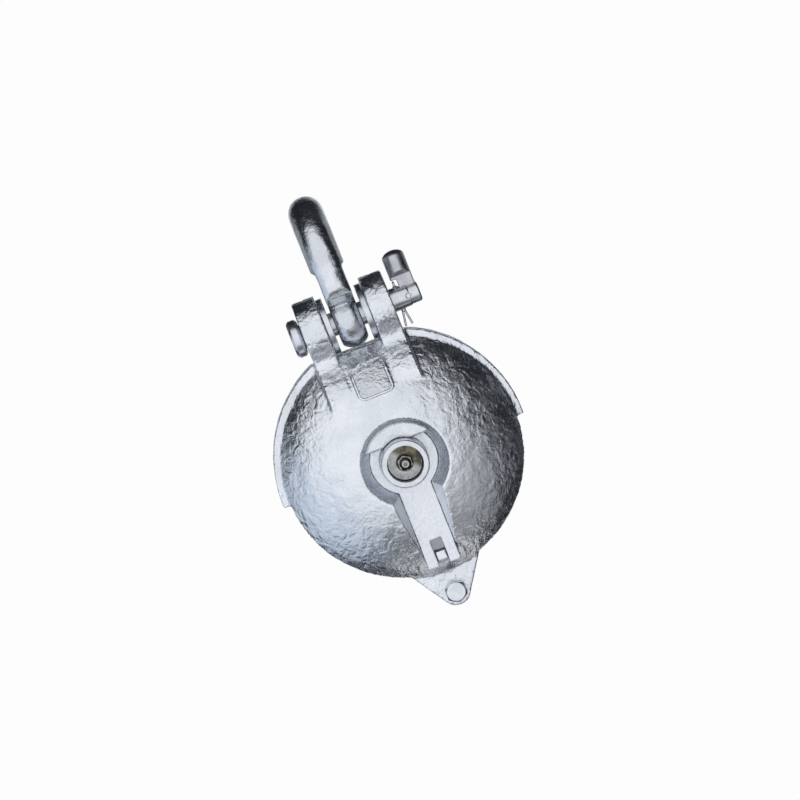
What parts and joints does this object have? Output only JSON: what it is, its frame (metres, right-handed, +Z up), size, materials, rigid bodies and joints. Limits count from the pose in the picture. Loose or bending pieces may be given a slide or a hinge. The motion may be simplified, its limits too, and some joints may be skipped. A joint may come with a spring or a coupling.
{
  "type": "rope pulley",
  "caption": "Rope pulley: grooved sheave between domed cast shells with a rope guard, hung from an eye shackle whose pin is held by a toggle and a split pin.",
  "frame": {"origin": "the point inside the shackle's crown where a sling bears, so the pulley hangs below it", "axes": "+Z up through the shackle from the sheave's centre, +X along the shackle pin towards its toggle, +Y along the axle from the front shell (the one with the keeper plate) to the rear shell"},
  "size_m": [0.1368, 0.076, 0.2324],
  "materials": {
    "cast_shell": "galvanised casting with a fine orange-peel grain",
    "forged_shackle": "galvanised forging",
    "plated_steel": "bright zinc plate",
    "keeper_steel": "galvanised plate",
    "axle_steel": "turned, with an oiled counterbore",
    "toggle_steel": "turned and smoothly worn",
    "sheave_iron": "machined groove, galvanised web",
    "bronze": "machined bearing bronze",
    "nipple_steel": "zinc plate, greasy"
  },
  "bodies": {
    "shackle": {"shackle": "forged_shackle"},
    "block": {"front_shell": "cast_shell", "rear_shell": "cast_shell", "axle": "axle_steel", "keeper_plate": "keeper_steel", "axle_nut": "plated_steel", "axle_washer": "plated_steel", "axle_split_pin": "plated_steel", "grease_nipple": "nipple_steel", "nipple_spring": "nipple_steel", "bottom_bolt": "plated_steel", "bottom_nut": "plated_steel", "bottom_lock_washer": "plated_steel", "front_thrust_washer": "bronze", "rear_thrust_washer": "bronze"},
    "sheave": {"sheave": "sheave_iron", "sheave_bush": "bronze"},
    "pin": {"shackle_pin": "plated_steel", "split_pin": "plated_steel", "spacer_washer_left": "plated_steel", "spacer_washer_right": "plated_steel", "toggle_rivet": "plated_steel"},
    "toggle": {"pin_toggle": "toggle_steel"},
    "nipple_ball": {"nipple_ball": "nipple_steel"}
  },
  "joints": [
    {"name": "block_swing", "type": "hinge", "parent": "shackle", "child": "block", "pos_m": [0, 0, -0.0501], "axis": [1, 0, 0], "range_deg": [-50, 50]},
    {"name": "sheave_spin", "type": "hinge", "parent": "block", "child": "sheave", "pos_m": [0, 0, -0.1286], "axis": [0, 1, 0], "continuous": true},
    {"name": "pin_turn", "type": "hinge", "parent": "block", "child": "pin", "pos_m": [0, 0, -0.0501], "axis": [1, 0, 0], "range_deg": [-120, 120]},
    {"name": "toggle_flip", "type": "hinge", "parent": "pin", "child": "toggle", "pos_m": [0.0343, 0, -0.0501], "axis": [0, 1, 0], "range_deg": [0, 90]},
    {"name": "nipple_ball_travel", "type": "slide", "parent": "block", "child": "nipple_ball", "axis": [0, 1, 0], "range_m": [0, 0.0005], "stiffness_N_per_m": 200, "springref_m": -0.0005, "deforming": ["nipple_spring"]}
  ]
}
